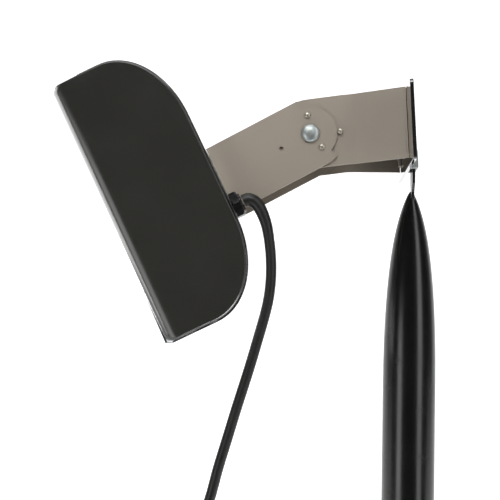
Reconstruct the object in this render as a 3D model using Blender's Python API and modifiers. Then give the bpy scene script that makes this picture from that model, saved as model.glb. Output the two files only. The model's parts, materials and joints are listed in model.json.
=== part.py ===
"""Exhibition picture light on a pole.

A D-shaped flood head hangs on a sheet-metal arm in two pieces. The front piece carries the head and
turns about a domed bolt in the rear piece, whose plates spread out to a black flange. A pocket
on the back of the flange drops over a steel blade in the pointed top of a round post. The mains
cord leaves the back of the head through a gland, hangs down, and ends in a tied coil and a plug.

Metres, +Z up. X points from the head to the post and Y across the light. The origin is the centre of
the post's lower end, which is what holds everything up.
"""

import math

import bmesh
import bpy
from mathutils import Matrix, Vector

# Post and blade
POST_RADIUS = 0.0187
TIP_TOP = 0.2520
TIP_TAPER = 0.1335
TIP_BASE = 0.0310
FOOT_THICKNESS = 0.0030
SPIGOT_RADIUS = 0.0150
BLADE_THICKNESS = 0.0020
BLADE_FRONT = 0.0
BLADE_BOTTOM = 0.2150
BLADE_SHOULDER = 0.2540
BLADE_TOP = 0.2775
BLADE_STEM_WIDTH = 0.0070
BLADE_HEAD_WIDTH = 0.0180

# Elbow and arm
PIVOT = Vector((-0.0740, 0.0, 0.2896))
SHEET = 0.0015
GAP = 0.0003
ARM_HALF_HEIGHT = 0.0251
CHANNEL_HALF_WIDTH = 0.0200
FRONT_ARM_ANGLE = math.radians(28.85)
REAR_ARM_ANGLE = math.radians(5.5)
STOP_RADIUS = 0.0190
STOP_ANGLES = (math.radians(85), math.radians(-68))
STOP_PIP = (0.0213, 0.0)
FRONT_PIPS = ((0.0042, 0.0125), (0.0028, -0.0125))
PIP_RADIUS = 0.0020
PIP_HEIGHT = 0.0010
TOOLING_HOLE = (-0.0234, 0.0)
TOOLING_RADIUS = 0.0016
BOLT_RADIUS = 0.0030
BOLT_CLEARANCE = 0.0033
BOLT_HEAD_RADIUS = 0.0066
BOLT_HEAD_HEIGHT = 0.0036
FLARE_START = 0.0250
FLARE_BEND = 0.0200
FLARE_END_SPREAD = 0.0160
CROWN_HEIGHT = 0.0012
REAR_ARM_ENDS = (0.0686, 0.0667)

# Flange
FLANGE_BASE = Vector((-0.0046, 0.0, 0.2660))
FLANGE_LEAN = math.radians(3.43)
FLANGE_THICKNESS = 0.0026
FLANGE_HALF_WIDTH = 0.0640
FLANGE_HEIGHT = 0.0548
RIVET_RADIUS = 0.0016
RIVET_HEAD = 0.0030
RIVET_CLEARANCE = 0.0019
FLANGE_CORNER = 0.003
FLANGE_RIVETS = [(side * 0.0300, height) for side in (-1, 1) for height in (0.016, 0.042)]
POCKET_DEPTH = 0.0086
POCKET_HALF_WIDTH = 0.0125
POCKET_BOTTOM = 0.0008
POCKET_TOP = 0.0140

# Head, in its own frame: x from the front to the back, z up along the front
HEAD_TILT = math.radians(26.6)
HEAD_ORIGIN = Vector((-0.2141, 0.0, 0.2272))
FACE_DEPTH = 0.0774
FACE_HALF_HEIGHT = 0.0975
CORNER_DEPTH = 0.040
CORNER_HEIGHT = 0.057
FRONT_CORNER = 0.0060
HEAD_HALF_WIDTH = 0.0420
NEAR_RIM = 0.0020
HOUSING_RIM = 0.0032
FAR_RIM = 0.0039
COVER_DEPTH = 0.0040
COVER_WALL = 0.0018
HOUSING_WALL = 0.0012
HOUSING_FRONT = 0.0208
HOUSING_LOWER_FRONT = 0.0030
FOOT_RIVETS = [(y, z) for y in (-0.0120, 0.0100) for z in (-0.0240, 0.0030)]
FOOT_BOTTOM = -0.0330
FOOT_TOP = 0.0120
BACKING_EDGES = (-0.0190, 0.0180)
BACKING_THICKNESS = 0.0020

# Lamp
LAMP_X = 0.0400
LAMP_HALF = 0.0590
HOLDER_HALF = 0.0105
HOLDER_LENGTH = 0.0150
TROUGH_HALF_WIDTH = 0.0310
TROUGH_BACK = 0.0600
TROUGH_DEPTH = 0.0370
TROUGH_HALF_LENGTH = 0.0760

# Glass door
DOOR_AJAR = math.radians(1.5)
DOOR_INSET = 0.0029
DOOR_DEPTH = 0.0170
DOOR_PLATE = 0.0010
DOOR_STEP = 0.0019
DOOR_WALL = 0.0015
DOOR_LIP = 0.0060
DOOR_HALF_HEIGHT = 0.0990
DOOR_HALF_WIDTH = 0.0354
DOOR_TOP = 0.0008
GASKET_DEPTH = 0.0030
SEAL_THICKNESS = 0.0015
PANE_THICKNESS = 0.0040
PIN_X = -0.0035
PIN_Z = -0.0048
HINGE_PIN_RADIUS = 0.0015

# Gland, cord and plug
CORD_Y = -0.0309
CORD_RADIUS = 0.0037
GLAND_HEIGHT = -0.0318
GLAND_FLATS = 0.0175
GLAND_LENGTH = 0.0060
COIL_CENTRE = Vector((-0.1360, CORD_Y, -0.0380))
COIL_INNER = 0.0332
COIL_OUTER = 0.0487
COIL_HALF_WIDTH = 0.0114
TURN_RADIUS = 0.0447
TURN_PITCH = 0.0075
PLUG_TOP = 0.0500
SLEEVE_ROUTE = (
    (-0.1202, 0.2387), (-0.1172, 0.2402), (-0.1134, 0.2393), (-0.1094, 0.2354),
    (-0.1060, 0.2290), (-0.1034, 0.2215), (-0.1018, 0.2138),
)
CORD_ROUTE = (
    (-0.1017, 0.2134), (-0.1003, 0.2040), (-0.0996, 0.1920), (-0.1000, 0.1780), (-0.1022, 0.1640),
    (-0.1068, 0.1467), (-0.1134, 0.1223), (-0.1211, 0.0965), (-0.1289, 0.0690), (-0.1343, 0.0502),
    (-0.1382, 0.0330), (-0.1425, 0.0210), (-0.1478, 0.0140),
)

OBJECT_NAME = "exhibition_picture_light"


def empty_scene():
    for old in list(bpy.data.objects):
        bpy.data.objects.remove(old, do_unlink=True)


def make_collection(name):
    made = bpy.data.collections.new(name)
    bpy.context.scene.collection.children.link(made)
    return made


def material(name, colour, roughness, metallic=0.0):
    made = bpy.data.materials.new(name)
    made.use_nodes = True
    shader = made.node_tree.nodes["Principled BSDF"]
    shader.inputs["Base Color"].default_value = (*colour, 1.0)
    shader.inputs["Roughness"].default_value = roughness
    shader.inputs["Metallic"].default_value = metallic
    return made


def frame_empty(name, location, angle=0.0, parent=None):
    """An empty whose x axis is raised by angle above its parent's x axis."""
    made = bpy.data.objects.new(name, None)
    made.empty_display_size = 0.02
    made.parent = parent
    made.location = location
    made.rotation_euler = (0.0, -angle, 0.0)
    PARTS.objects.link(made)
    return made


def add_object(name, mesh, finish, parent=None, collection=None):
    made = bpy.data.objects.new(name, mesh)
    made.parent = parent
    (collection or PARTS).objects.link(made)
    if finish:
        mesh.materials.append(finish)
        mesh.shade_smooth()
        mesh.set_sharp_from_angle(angle=math.radians(35))
    return made


def mesh_from(bm, name):
    bmesh.ops.recalc_face_normals(bm, faces=bm.faces)
    mesh = bpy.data.meshes.new(name)
    bm.to_mesh(mesh)
    bm.free()
    return mesh


def box_mesh(name, low, high):
    low, high = Vector(low), Vector(high)
    bm = bmesh.new()
    bmesh.ops.create_cube(bm, size=1.0)
    bmesh.ops.scale(bm, vec=high - low, verts=bm.verts)
    bmesh.ops.translate(bm, vec=(high + low) / 2, verts=bm.verts)
    return mesh_from(bm, name)


def rod_mesh(name, start, end, radius, sides=20, end_radius=None):
    """A round bar, or a cone, from start to end."""
    start, end = Vector(start), Vector(end)
    along = end - start
    bm = bmesh.new()
    bmesh.ops.create_cone(
        bm, cap_ends=True, segments=sides, radius1=radius,
        radius2=radius if end_radius is None else end_radius, depth=along.length,
    )
    turn = Vector((0, 0, 1)).rotation_difference(along.normalized()).to_matrix().to_4x4()
    bmesh.ops.transform(bm, matrix=Matrix.Translation((start + end) / 2) @ turn, verts=bm.verts)
    return mesh_from(bm, name)


PLANES = {
    "XY": Matrix.Identity(4),
    "XZ": Matrix.Rotation(math.radians(90), 4, "X"),
    "YZ": Matrix.Rotation(math.radians(90), 4, "Z") @ Matrix.Rotation(math.radians(90), 4, "X"),
}


def outline_mesh(name, outline, low, high, plane="XZ", holes=()):
    """A flat outline, with holes, as thick as low to high along the third axis."""
    curve = bpy.data.curves.new(name, "CURVE")
    curve.dimensions = "2D"
    curve.fill_mode = "BOTH"
    curve.extrude = (high - low) / 2
    for loop in (outline, *holes):
        spline = curve.splines.new("POLY")
        spline.points.add(len(loop) - 1)
        for point, place in zip(spline.points, loop):
            point.co = (*place, 0.0, 1.0)
        spline.use_cyclic_u = True
    guide = bpy.data.objects.new(name, curve)
    PARTS.objects.link(guide)
    shape = guide.evaluated_get(bpy.context.evaluated_depsgraph_get())
    bm = bmesh.new()
    bm.from_mesh(bpy.data.meshes.new_from_object(shape))
    bpy.data.objects.remove(guide)
    bpy.data.curves.remove(curve)
    bmesh.ops.remove_doubles(bm, verts=bm.verts, dist=0.00001)
    middle = (high + low) / 2
    offset = {"XY": (0, 0, middle), "XZ": (0, middle, 0), "YZ": (middle, 0, 0)}[plane]
    bmesh.ops.transform(bm, matrix=Matrix.Translation(offset) @ PLANES[plane], verts=bm.verts)
    return mesh_from(bm, name)


def circle(centre, radius, sides=20):
    turns = [math.tau * i / sides for i in range(sides)]
    return [(centre[0] + radius * math.cos(a), centre[1] + radius * math.sin(a)) for a in turns]


def arc(centre, radii, start, end, steps):
    """Points on an ellipse's arc, with angles in degrees and both ends included."""
    turns = [math.radians(start + (end - start) * i / steps) for i in range(steps + 1)]
    return [(centre[0] + radii[0] * math.cos(a), centre[1] + radii[1] * math.sin(a)) for a in turns]


def turned(name, profile, finish, parent=None, steps=32):
    """A profile of (radius, height) from top to bottom, turned about z. Ends on the axis close it."""
    bm = bmesh.new()
    ring = [bm.verts.new((radius, 0.0, height)) for radius, height in profile]
    for upper, lower in zip(ring, ring[1:]):
        bm.edges.new((upper, lower))
    if profile[0][0] > 0:
        bm.edges.new((ring[-1], ring[0]))
    mesh = bpy.data.meshes.new(name)
    bm.to_mesh(mesh)
    bm.free()
    made = add_object(name, mesh, finish, parent)
    screw = made.modifiers.new("turn", "SCREW")
    screw.steps = steps
    screw.render_steps = steps
    screw.use_merge_vertices = True
    screw.merge_threshold = 0.00002
    return made


def bevel(target, width, segments=2, angle=30):
    edge = target.modifiers.new("edges", "BEVEL")
    edge.width = width
    edge.segments = segments
    edge.limit_method = "ANGLE"
    edge.angle_limit = math.radians(angle)
    return target


def solidify(target, thickness, offset=-1.0):
    wall = target.modifiers.new("wall", "SOLIDIFY")
    wall.thickness = thickness
    wall.offset = offset
    wall.use_even_offset = True
    return target


def combine(target, operand_mesh, operation, parent="same"):
    """Cut, join or intersect target with a mesh that stands in parent's frame."""
    tool = add_object(f"tool_{target.name}_{len(target.modifiers)}", operand_mesh, None, None, TOOLS)
    tool.parent = target.parent if parent == "same" else parent
    tool.hide_render = True
    tool.display_type = "WIRE"
    change = target.modifiers.new(operation.lower(), "BOOLEAN")
    change.operation = operation
    change.solver = "EXACT"
    change.object = tool
    return target


def smooth_route(points, spacing):
    """Points along a Catmull-Rom curve through the route's own points, about spacing apart."""
    ends = [points[0] * 2 - points[1], *points, points[-1] * 2 - points[-2]]
    fine = []
    for a, b, c, d in zip(ends, ends[1:], ends[2:], ends[3:]):
        for step in range(16):
            t = step / 16
            fine.append(
                0.5 * (2 * b + (c - a) * t + (2 * a - 5 * b + 4 * c - d) * t * t
                       + (3 * b - a - 3 * c + d) * t * t * t)
            )
    fine.append(points[-1])
    length = sum((q - p).length for p, q in zip(fine, fine[1:]))
    count = max(2, round(length / spacing))
    places, walked, target = [fine[0]], 0.0, 1
    for p, q in zip(fine, fine[1:]):
        step = (q - p).length
        while target < count and walked + step >= target * length / count:
            places.append(p.lerp(q, (target * length / count - walked) / step))
            target += 1
        walked += step
    places.append(fine[-1])
    return places


def tube(name, points, radius, finish, parent=None, resolution=2, radii=None):
    curve = bpy.data.curves.new(name, "CURVE")
    curve.dimensions = "3D"
    curve.bevel_depth = radius
    curve.bevel_resolution = resolution
    curve.use_fill_caps = True
    spline = curve.splines.new("POLY")
    spline.points.add(len(points) - 1)
    for index, place in enumerate(points):
        spline.points[index].co = (*place, 1.0)
        spline.points[index].radius = radii[index] if radii else 1.0
    curve.materials.append(finish)
    made = bpy.data.objects.new(name, curve)
    made.parent = parent
    PARTS.objects.link(made)
    return made


def rivet(name, centre, low, high, finish, parent):
    """A rivet along x, with a low domed head past each end of its shank."""
    y, z = centre
    made = add_object(name, rod_mesh(name, (low, y, z), (high, y, z), RIVET_RADIUS, 10), finish, parent)
    for end, way in ((low, -1), (high, 1)):
        head = rod_mesh(name, (end - way * 0.0002, y, z), (end + way * 0.0010, y, z), RIVET_HEAD, 12, 0.0019)
        combine(made, head, "UNION")


# Post, blade and flange


def tip_radius(depth):
    """The post's radius at a depth below its point: an ellipse, drawn in towards the point."""
    round_part = math.sqrt(1 - (1 - min(depth, TIP_TAPER) / TIP_TAPER) ** 2)
    return POST_RADIUS * round_part * (1 - 0.42 * math.exp(-depth / 0.016))


def make_post(black):
    """The tip, slotted for the blade, the tube below it, its end plug, and the blade itself."""
    depths = (0.002, 0.005, 0.010, 0.017, 0.026, 0.037, 0.050, 0.065, 0.083, 0.105, TIP_TAPER)
    profile = [(0.0, TIP_TOP), *((tip_radius(d), TIP_TOP - d) for d in depths)]
    profile += [(POST_RADIUS, TIP_BASE), (0.0, TIP_BASE)]
    tip = turned("post_tip", profile, black)
    slot = (BLADE_THICKNESS / 2 + GAP, BLADE_STEM_WIDTH / 2 + GAP)
    middle = BLADE_FRONT + BLADE_THICKNESS / 2
    combine(tip, box_mesh("blade_slot", (middle - slot[0], -slot[1], BLADE_BOTTOM - GAP),
                          (middle + slot[0], slot[1], TIP_TOP + 0.01)), "DIFFERENCE")
    turned("post_tube", [(POST_RADIUS, TIP_BASE - GAP), (POST_RADIUS, FOOT_THICKNESS + GAP),
                         (SPIGOT_RADIUS + GAP, FOOT_THICKNESS + GAP), (SPIGOT_RADIUS + GAP, TIP_BASE - GAP)],
           black)
    turned("post_end_plug", [(0.0, TIP_BASE - 0.004), (SPIGOT_RADIUS, TIP_BASE - 0.004),
                             (SPIGOT_RADIUS, FOOT_THICKNESS), (POST_RADIUS, FOOT_THICKNESS),
                             (POST_RADIUS, 0.0), (0.0, 0.0)], black)
    stem, head = BLADE_STEM_WIDTH / 2, BLADE_HEAD_WIDTH / 2
    outline = [(-stem, BLADE_BOTTOM), (stem, BLADE_BOTTOM), (stem, BLADE_SHOULDER - 0.003),
               (head, BLADE_SHOULDER + 0.003), (head, BLADE_TOP - 0.002), (head - 0.002, BLADE_TOP),
               (0.002 - head, BLADE_TOP), (-head, BLADE_TOP - 0.002), (-head, BLADE_SHOULDER + 0.003),
               (-stem, BLADE_SHOULDER - 0.003)]
    blade = outline_mesh("post_blade", outline, BLADE_FRONT, BLADE_FRONT + BLADE_THICKNESS, "YZ")
    bevel(add_object("post_blade", blade, black), 0.0003, 1)


def make_flange(black, zinc, flange_frame):
    """The black flange plate, its four rivets, and the pocket behind it that hooks over the blade."""
    wide, tall, corner = FLANGE_HALF_WIDTH, FLANGE_HEIGHT, FLANGE_CORNER
    outline = []
    for side_y, side_z, start in ((-1, 0, 180), (1, 0, 270), (1, 1, 0), (-1, 1, 90)):
        centre = (side_y * (wide - corner), corner if side_z == 0 else tall - corner)
        outline += arc(centre, (corner, corner), start, start + 90, 4)
    holes = [circle(place, RIVET_CLEARANCE, 12) for place in FLANGE_RIVETS]
    plate = outline_mesh("wall_flange", outline, 0.0, FLANGE_THICKNESS, "YZ", holes)
    bevel(add_object("wall_flange", plate, black, flange_frame), 0.0005, 2)
    for number, place in enumerate(FLANGE_RIVETS, 1):
        rivet(f"flange_rivet_{number}", place, -GAP - SHEET - GAP, FLANGE_THICKNESS + GAP, zinc, flange_frame)
    pocket = box_mesh("hook_pocket", (FLANGE_THICKNESS + GAP, -POCKET_HALF_WIDTH, POCKET_BOTTOM),
                      (POCKET_DEPTH, POCKET_HALF_WIDTH, POCKET_TOP))
    hook = add_object("hook_pocket", pocket, zinc, flange_frame)
    room = box_mesh("blade_room", (-0.008, -BLADE_HEAD_WIDTH / 2 - GAP, 0.24),
                    (BLADE_FRONT + BLADE_THICKNESS + GAP, BLADE_HEAD_WIDTH / 2 + GAP, BLADE_TOP + GAP))
    combine(hook, room, "DIFFERENCE", None)
    bevel(hook, 0.0004, 1)


# Arms


def flare(x):
    """How far a rear plate has spread sideways at x along the rear arm."""
    run = REAR_ARM_ENDS[0] - FLARE_START
    angle = math.atan2(FLARE_END_SPREAD, run - FLARE_BEND * 0.22)
    past = x - FLARE_START
    if past <= 0:
        return 0.0
    bent = FLARE_BEND * math.sin(angle)
    if past < bent:
        return FLARE_BEND - math.sqrt(FLARE_BEND ** 2 - past ** 2)
    return FLARE_BEND * (1 - math.cos(angle)) + (past - bent) * math.tan(angle)


def crown(x):
    """How far the rear arm stands above its straight line at x, most where the flare starts."""
    if x <= 0:
        return 0.0
    rising = x / FLARE_START
    falling = (REAR_ARM_ENDS[1] - x) / (REAR_ARM_ENDS[1] - FLARE_START)
    return CROWN_HEIGHT * min(rising, falling)


def rear_plate(name, side):
    """One side plate of the rear arm, with a round end at the pivot and a flare to the flange."""
    high = ARM_HALF_HEIGHT
    outline = arc((0, 0), (high, high), 90, 270, 20)
    outline += [(REAR_ARM_ENDS[1], -high), (REAR_ARM_ENDS[0], high)]
    near = -CHANNEL_HALF_WIDTH if side < 0 else CHANNEL_HALF_WIDTH + GAP
    low, top = (near, near + SHEET)
    mesh = outline_mesh(name, outline, low, top, "XZ", [circle((0, 0), BOLT_CLEARANCE, 16)])
    bm = bmesh.new()
    bm.from_mesh(mesh)
    for step in range(7):
        place = (FLARE_START + step * 0.002, 0, 0)
        bmesh.ops.bisect_plane(bm, geom=[*bm.verts, *bm.edges, *bm.faces], plane_co=place,
                               plane_no=(1, 0, 0), dist=0.000001)
    for vertex in bm.verts:
        vertex.co.z += crown(vertex.co.x)
        vertex.co.y += side * flare(vertex.co.x)
    bmesh.ops.triangulate(bm, faces=bm.faces)
    bm.to_mesh(mesh)
    bm.free()
    return mesh


def make_rear_arm(taupe, rear_frame, flange_frame):
    arm = add_object("rear_arm", rear_plate("rear_arm", -1), taupe, rear_frame)
    combine(arm, rear_plate("far_plate", 1), "UNION")
    start, end, high = FLARE_START + 0.004, REAR_ARM_ENDS[0], ARM_HALF_HEIGHT
    stations = [start + (end - start) * i / 6 for i in range(7)]
    reach = CHANNEL_HALF_WIDTH - SHEET / 3
    web = [(x, -reach - flare(x)) for x in stations]
    web += [(x, reach + GAP + SHEET * 2 / 3 + flare(x)) for x in reversed(stations)]
    combine(arm, outline_mesh("web", web, high - SHEET, high - 0.00004, "XY"), "UNION")
    combine(arm, outline_mesh("stop_pip", circle(STOP_PIP, PIP_RADIUS, 16),
                              -CHANNEL_HALF_WIDTH - GAP - SHEET, -CHANNEL_HALF_WIDTH + GAP), "UNION")
    spread = CHANNEL_HALF_WIDTH + FLARE_END_SPREAD
    for side in (-1, 1):
        outline = [(side * 0.0245, 0.0085), (side * (spread - 0.0008), 0.0085),
                   (side * (spread - 0.0008), 0.0500), (side * 0.0245, 0.0500)]
        holes = [circle(place, RIVET_CLEARANCE, 12) for place in FLANGE_RIVETS if place[0] * side > 0]
        tab = outline_mesh("end_tab", outline, -GAP - SHEET, -GAP, "YZ", holes)
        combine(arm, tab, "UNION", flange_frame)


def front_end_outline():
    """The front arm's round end, cut back between its two stop steps."""
    high = ARM_HALF_HEIGHT
    upper, lower = (math.degrees(a) for a in STOP_ANGLES)
    points = arc((0, 0), (high, high), -90, lower, 3)
    points += arc((0, 0), (STOP_RADIUS, STOP_RADIUS), lower, upper, 16)
    points += arc((0, 0), (high, high), upper, 90, 1)
    return points


def make_front_arm(taupe, front_frame, head_frame):
    """The arm that carries the head: two side plates, a web over them and a foot against the housing."""
    high, overrun = ARM_HALF_HEIGHT, -0.0900
    near = (-CHANNEL_HALF_WIDTH - GAP - SHEET, -CHANNEL_HALF_WIDTH - GAP)
    far = (CHANNEL_HALF_WIDTH - SHEET, CHANNEL_HALF_WIDTH)
    inside = (near[0] + 0.0004, far[1] - 0.0004)
    holes = [circle((0, 0), BOLT_CLEARANCE, 16), circle(TOOLING_HOLE, TOOLING_RADIUS, 10)]
    sides = front_end_outline() + [(overrun, high), (overrun, -high)]
    arm = add_object("front_arm", outline_mesh("front_arm", sides, *near, "XZ", holes), taupe, front_frame)
    round_end = arc((0, 0), (high, high), -90, 90, 20) + [(overrun, high), (overrun, -high)]
    combine(arm, outline_mesh("far_plate", round_end, *far, "XZ", holes[:1]), "UNION")
    for place in FRONT_PIPS:
        pip = outline_mesh("pip", circle(place, PIP_RADIUS, 16), near[0] - PIP_HEIGHT, near[0] + 0.0005)
        combine(arm, pip, "UNION")
    web = box_mesh("web", (overrun, inside[0], high - SHEET), (-0.0330, inside[1], high - 0.00004))
    combine(arm, web, "UNION")
    back = FACE_DEPTH + HOUSING_RIM + GAP
    trim = box_mesh("head_side", (back - 0.040, -0.06, -0.12), (back, 0.06, 0.12))
    combine(arm, trim, "DIFFERENCE", head_frame)
    foot_holes = [circle(place, RIVET_CLEARANCE, 12) for place in FOOT_RIVETS]
    near, far = inside
    outline = [(near, FOOT_BOTTOM), (far, FOOT_BOTTOM), (far, FOOT_TOP), (near, FOOT_TOP)]
    foot = outline_mesh("foot", outline, back + 0.00003, back + SHEET, "YZ", foot_holes)
    combine(arm, foot, "UNION", head_frame)


def make_pivot(zinc, steel, pivot_frame):
    near, far = -CHANNEL_HALF_WIDTH - GAP - SHEET - GAP, CHANNEL_HALF_WIDTH + GAP + SHEET + GAP
    dome = [(0.0, BOLT_HEAD_HEIGHT)]
    dome += [(BOLT_HEAD_RADIUS * math.sin(a), BOLT_HEAD_HEIGHT * math.cos(a) ** 0.8)
             for a in (math.radians(t) for t in (18, 36, 54, 70, 82))]
    dome += [(BOLT_HEAD_RADIUS, 0.0004), (BOLT_HEAD_RADIUS - 0.0003, 0.0), (BOLT_RADIUS, 0.0)]
    dome += [(BOLT_RADIUS, near - far - 0.0085), (0.0, near - far - 0.0085)]
    bolt = turned("pivot_bolt", dome, zinc, pivot_frame, 28)
    bolt.location = (0.0, near, 0.0)
    bolt.rotation_euler = (math.radians(90), 0.0, 0.0)

    def ring(name, low, high, inner, outer, sides, finish, phase=0.0):
        turns = [math.tau * i / sides + phase for i in range(sides)]
        rim = [(outer * math.cos(turn), outer * math.sin(turn)) for turn in turns]
        mesh = outline_mesh(name, rim, low, high, "XZ", [circle((0, 0), inner, 16)])
        return bevel(add_object(name, mesh, finish, pivot_frame), 0.0002, 1)

    ring("elbow_spacer", -CHANNEL_HALF_WIDTH + SHEET + GAP, CHANNEL_HALF_WIDTH - SHEET - GAP,
         BOLT_CLEARANCE, 0.0055, 24, steel)
    ring("pivot_washer", far, far + 0.0012, BOLT_CLEARANCE, 0.0075, 24, zinc)
    ring("spring_washer", far + 0.0012 + GAP, far + 0.0027, BOLT_CLEARANCE, 0.0055, 20, steel)
    ring("pivot_nut", far + 0.0030, far + 0.0080, BOLT_CLEARANCE, 0.0058, 6, zinc)


# Head


def side_outline(rim, front=0.0, front_corner=FRONT_CORNER, steps=10):
    """The head's D outline, rim outside the flat of the side covers."""
    back, top = FACE_DEPTH + rim, FACE_HALF_HEIGHT + rim
    wide, tall = CORNER_DEPTH + rim, CORNER_HEIGHT + rim
    points = arc((back - wide, tall - top), (wide, tall), -90, 0, steps)
    points += arc((back - wide, top - tall), (wide, tall), 0, 90, steps)
    r = front_corner
    points += arc((front - rim * 0.5 + r, top - r), (r, r), 90, 180, 4)
    points += arc((front - rim * 0.5 + r, r - top), (r, r), 180, 270, 4)
    return points


def make_cover(name, side, rim, finish, head_frame):
    """A side cover: a shallow D-shaped tray whose open side faces the housing."""
    outline = side_outline(rim)
    outer = side * HEAD_HALF_WIDTH
    inner = side * (HEAD_HALF_WIDTH - COVER_DEPTH)
    bm = bmesh.new()
    rims = [[bm.verts.new((x, y, z)) for x, z in outline] for y in (outer, inner)]
    bm.faces.new(rims[0])
    for i in range(len(outline)):
        j = (i + 1) % len(outline)
        bm.faces.new((rims[0][i], rims[0][j], rims[1][j], rims[1][i]))
    bmesh.ops.recalc_face_normals(bm, faces=bm.faces)
    mesh = bpy.data.meshes.new(name)
    bm.to_mesh(mesh)
    bm.free()
    mesh.update()
    cover = add_object(name, mesh, finish, head_frame)
    if (mesh.polygons[0].normal.y > 0) != (side > 0):
        mesh.flip_normals()
    bevel(cover, rim, 3, 50)
    return solidify(cover, COVER_WALL)


def make_housing(bright, head_frame):
    """The bent sheet that joins the covers, open at the front and longer below the door."""
    back, top = FACE_DEPTH + HOUSING_RIM, FACE_HALF_HEIGHT + HOUSING_RIM
    wide, tall = CORNER_DEPTH + HOUSING_RIM, CORNER_HEIGHT + HOUSING_RIM
    path = [(HOUSING_LOWER_FRONT, -top), *arc((back - wide, tall - top), (wide, tall), -90, 0, 10)]
    path += [*arc((back - wide, top - tall), (wide, tall), 0, 90, 10), (HOUSING_FRONT, top)]
    low = -HEAD_HALF_WIDTH + COVER_DEPTH + GAP
    high = HEAD_HALF_WIDTH - COVER_DEPTH - GAP
    bm = bmesh.new()
    rows = [[bm.verts.new((x, y, z)) for x, z in path] for y in (low, high)]
    for i in range(len(path) - 1):
        bm.faces.new((rows[0][i], rows[0][i + 1], rows[1][i + 1], rows[1][i]))
    mesh = bpy.data.meshes.new("housing")
    bm.to_mesh(mesh)
    bm.free()
    mesh.update()
    housing = add_object("housing", mesh, bright, head_frame)
    if mesh.polygons[0].normal.z > 0:
        mesh.flip_normals()
    solidify(housing, HOUSING_WALL)
    for y, z in FOOT_RIVETS:
        hole = rod_mesh("rivet_hole", (back - 0.01, y, z), (back + 0.01, y, z), RIVET_CLEARANCE, 12)
        combine(housing, hole, "DIFFERENCE")
    gland_hole = rod_mesh("gland_hole", (back - 0.01, CORD_Y, GLAND_HEIGHT),
                          (back + 0.01, CORD_Y, GLAND_HEIGHT), 0.0059, 20)
    combine(housing, gland_hole, "DIFFERENCE")
    return back


def make_backing(steel, zinc, head_frame, back):
    """The plate inside the housing that the arm's foot is riveted to, with its rivets."""
    inside = back - HOUSING_WALL - GAP
    holes = [circle(place, RIVET_CLEARANCE, 12) for place in FOOT_RIVETS]
    near, far = BACKING_EDGES
    outline = [(near, FOOT_BOTTOM), (far, FOOT_BOTTOM), (far, FOOT_TOP), (near, FOOT_TOP)]
    plate = outline_mesh("arm_backing_plate", outline, inside - BACKING_THICKNESS, inside, "YZ", holes)
    bevel(add_object("arm_backing_plate", plate, steel, head_frame), 0.0003, 1)
    low, high = inside - BACKING_THICKNESS - GAP, back + GAP + SHEET + GAP
    for number, place in enumerate(FOOT_RIVETS, 1):
        rivet(f"foot_rivet_{number}", place, low, high, zinc, head_frame)


def reflector_point(share):
    """A point across the reflector's trough: share runs from 0 to 1 along a parabola."""
    across = 2 * share - 1
    return TROUGH_BACK - TROUGH_DEPTH * across ** 2, TROUGH_HALF_WIDTH * across


def make_lamp(bright, ceramic, glass, steel, head_frame):
    """Reflector trough, two lamp holders, the tube between them and a bracket behind."""
    half = TROUGH_HALF_LENGTH
    bm = bmesh.new()
    rows = [[bm.verts.new((*reflector_point(i / 14), z)) for i in range(15)] for z in (-half, half)]
    for i in range(14):
        bm.faces.new((rows[0][i], rows[0][i + 1], rows[1][i + 1], rows[1][i]))
    mesh = bpy.data.meshes.new("reflector")
    bm.to_mesh(mesh)
    bm.free()
    reflector = add_object("reflector", mesh, bright, head_frame)
    solidify(reflector, 0.0008, 0.0)
    for side, name in ((1, "upper_lamp_holder"), (-1, "lower_lamp_holder")):
        low, high = sorted((side * (LAMP_HALF + GAP), side * (LAMP_HALF + HOLDER_LENGTH)))
        block = box_mesh(name, (LAMP_X - HOLDER_HALF, -HOLDER_HALF, low),
                         (LAMP_X + HOLDER_HALF, HOLDER_HALF, high))
        bevel(add_object(name, block, ceramic, head_frame), 0.0012, 2)
    bulb = [(0.0, LAMP_HALF), (0.0036, LAMP_HALF), (0.0036, LAMP_HALF - 0.012),
            (0.0058, LAMP_HALF - 0.0145)]
    bulb += [(radius, -height) for radius, height in reversed(bulb)]
    tube_lamp = turned("halogen_lamp", bulb, glass, head_frame, 20)
    tube_lamp.location = (LAMP_X, 0.0, 0.0)
    bridge = box_mesh("lamp_bracket", (0.0640, -0.0080, -0.0740), (0.0652, 0.0080, 0.0740))
    bevel(add_object("lamp_bracket", bridge, steel, head_frame), 0.0003, 1)


def make_terminal(ceramic, zinc, head_frame):
    block = box_mesh("terminal_block", (0.0660, -0.0140, -0.0620), (0.0740, 0.0140, -0.0480))
    bevel(add_object("terminal_block", block, ceramic, head_frame), 0.0008, 2)
    screw = rod_mesh("earth_screw", (0.0665, 0.0080, 0.0300), (0.0760, 0.0080, 0.0300), 0.0020, 12)
    earth = add_object("earth_screw", screw, zinc, head_frame)
    head = rod_mesh("earth_head", (0.0660, 0.0080, 0.0300), (0.0680, 0.0080, 0.0300), 0.0038, 16)
    combine(earth, head, "UNION")


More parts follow.
